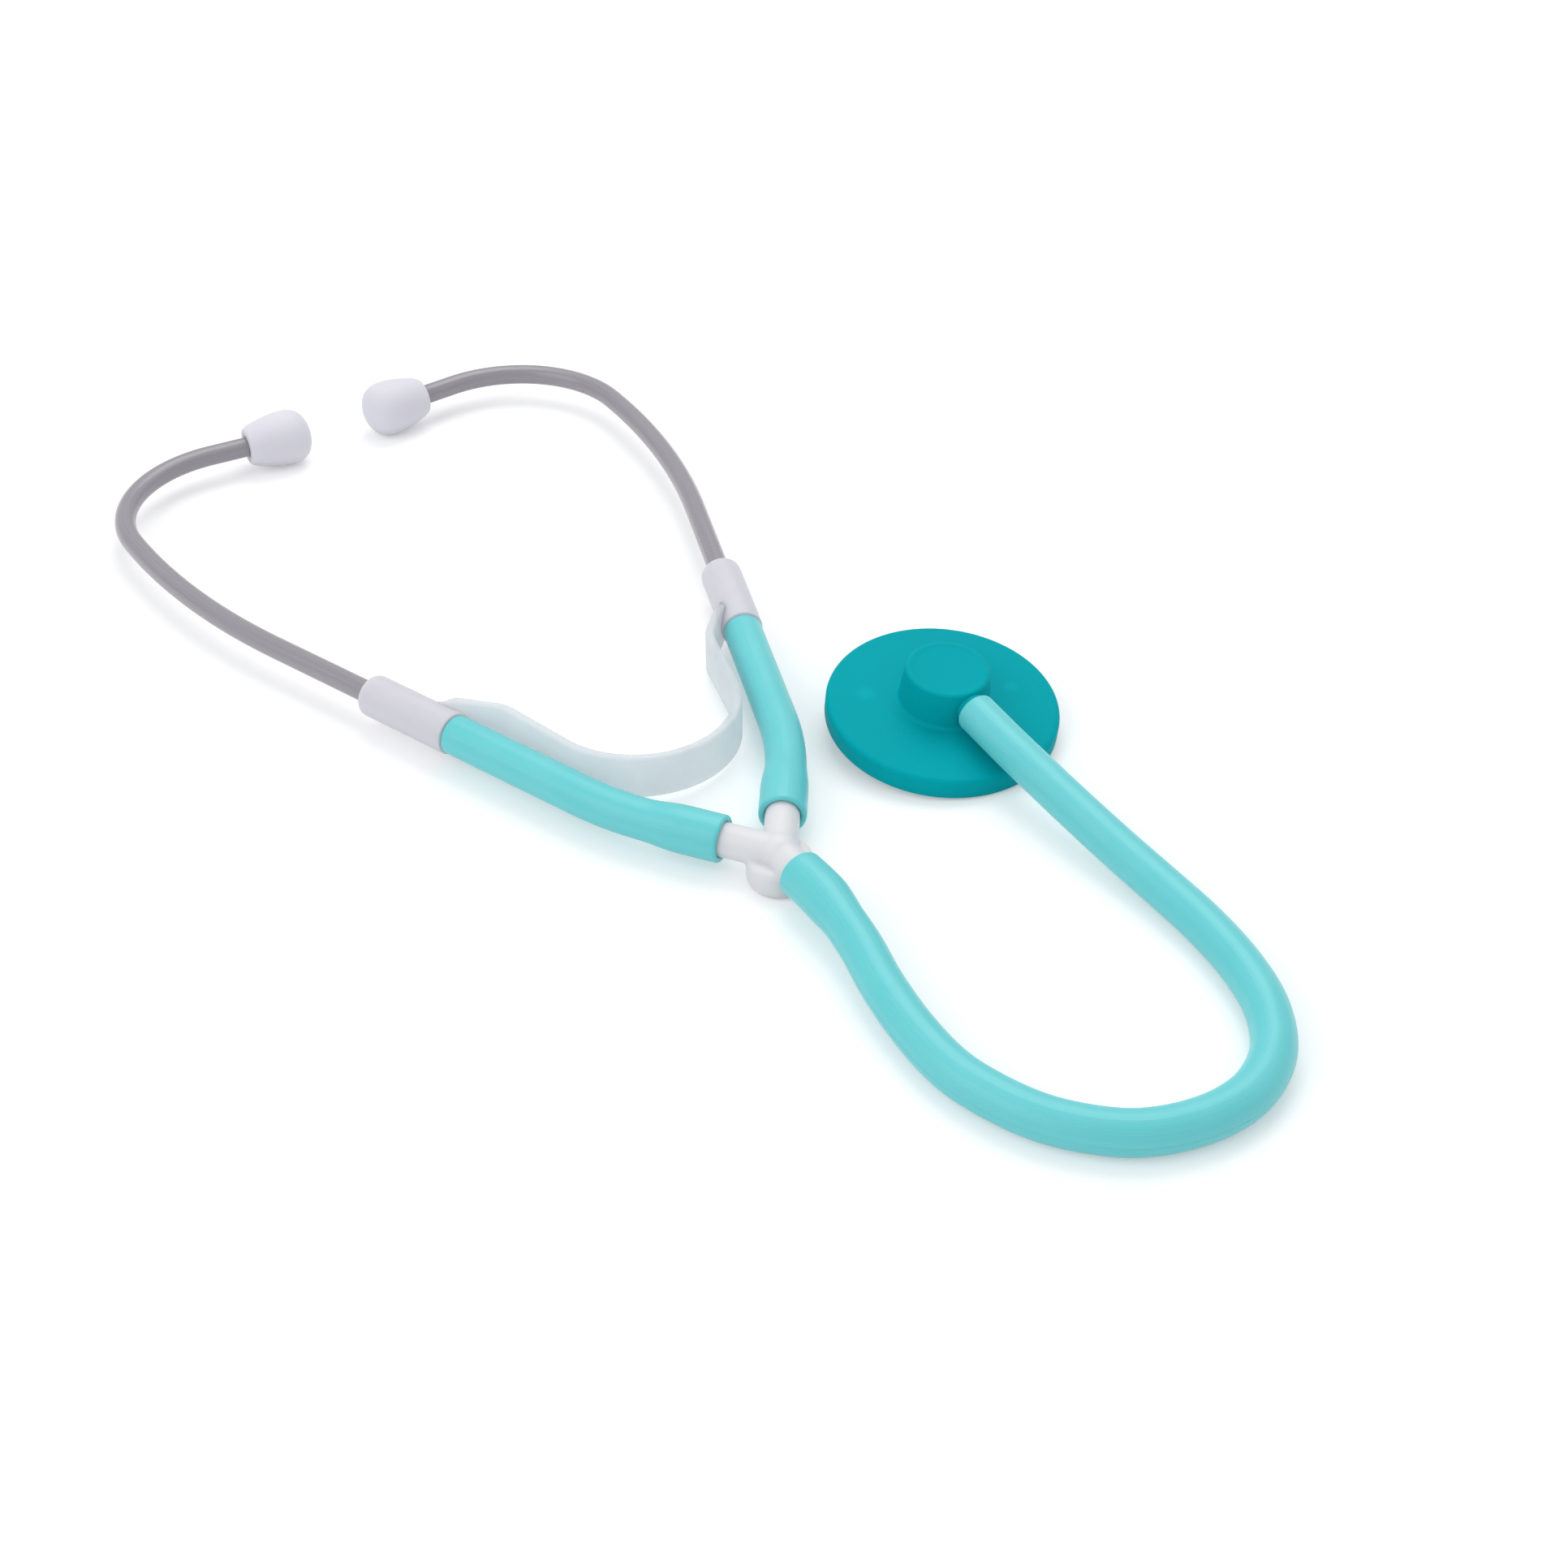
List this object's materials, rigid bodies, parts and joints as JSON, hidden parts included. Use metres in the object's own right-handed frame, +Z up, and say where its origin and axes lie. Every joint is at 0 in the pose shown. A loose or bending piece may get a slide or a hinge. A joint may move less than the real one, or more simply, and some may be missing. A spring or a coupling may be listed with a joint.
{
  "type": "toy stethoscope",
  "caption": "Toy stethoscope: bent ear tubes on a spring strap, short tubes to a Y connector, and a soft tube to a round chest piece with a diaphragm.",
  "frame": {"origin": "middle of the flat foot under the Y connector, on the table", "axes": "+Y along the headset's middle line towards the ear tips, +X to the chest piece's side, +Z up"},
  "size_m": [0.1372, 0.2936, 0.0168],
  "materials": {
    "ear_tips": "soft matte",
    "ear_tubes": "satin",
    "yoke": "frosted",
    "soft_tubing": "satin",
    "connector": "frosted",
    "chest_piece": "matte",
    "film": "clear film"
  },
  "bodies": {
    "frame": {"y_connector": "connector", "main_tube": "soft_tubing", "left_tube": "soft_tubing", "right_tube": "soft_tubing", "spring_strap": "yoke"},
    "left_arm": {"left_socket": "yoke"},
    "right_arm": {"right_socket": "yoke"},
    "left_ear": {"left_ear_tube": "ear_tubes"},
    "right_ear": {"right_ear_tube": "ear_tubes"},
    "left_tip": {"left_ear_tip": "ear_tips"},
    "right_tip": {"right_ear_tip": "ear_tips"},
    "chest": {"chest_body": "chest_piece", "diaphragm": "film", "diaphragm_ring": "chest_piece"}
  },
  "joints": [
    {"name": "left_arm_spread", "type": "hinge", "parent": "frame", "child": "left_arm", "pos_m": [0, 0.0315, 0.0064], "axis": [0, 0, 1], "range_deg": [-2, 15], "stiffness_Nm_per_rad": 0.5, "deforming": ["spring_strap", "left_tube"]},
    {"name": "right_arm_spread", "type": "hinge", "parent": "frame", "child": "right_arm", "pos_m": [0, 0.0315, 0.0064], "axis": [0, 0, 1], "range_deg": [-15, 2], "stiffness_Nm_per_rad": 0.5, "deforming": ["spring_strap", "right_tube"]},
    {"name": "left_ear_tube_twist", "type": "hinge", "parent": "left_arm", "child": "left_ear", "pos_m": [-0.04086, 0.08651, 0.0064], "axis": [-0.342, 0.9397, 0], "range_deg": [-30, 30]},
    {"name": "right_ear_tube_twist", "type": "hinge", "parent": "right_arm", "child": "right_ear", "pos_m": [0.04086, 0.08651, 0.0064], "axis": [0.342, 0.9397, 0], "range_deg": [-30, 30]},
    {"name": "left_ear_tip_turn", "type": "hinge", "parent": "left_ear", "child": "left_tip", "pos_m": [-0.02235, 0.19157, 0.0064], "axis": [0.9962, -0.0872, 0], "continuous": true},
    {"name": "right_ear_tip_turn", "type": "hinge", "parent": "right_ear", "child": "right_tip", "pos_m": [0.02235, 0.19157, 0.0064], "axis": [-0.9962, -0.0872, 0], "continuous": true},
    {"name": "chest_swivel", "type": "hinge", "parent": "frame", "child": "chest", "pos_m": [0.0522, 0.01151, 0.01103], "axis": [0, -0.9925, -0.1219], "range_deg": [-90, 90]}
  ],
  "couplings": [
    {"joint": "right_arm_spread", "follows": "left_arm_spread", "ratio": -1}
  ]
}
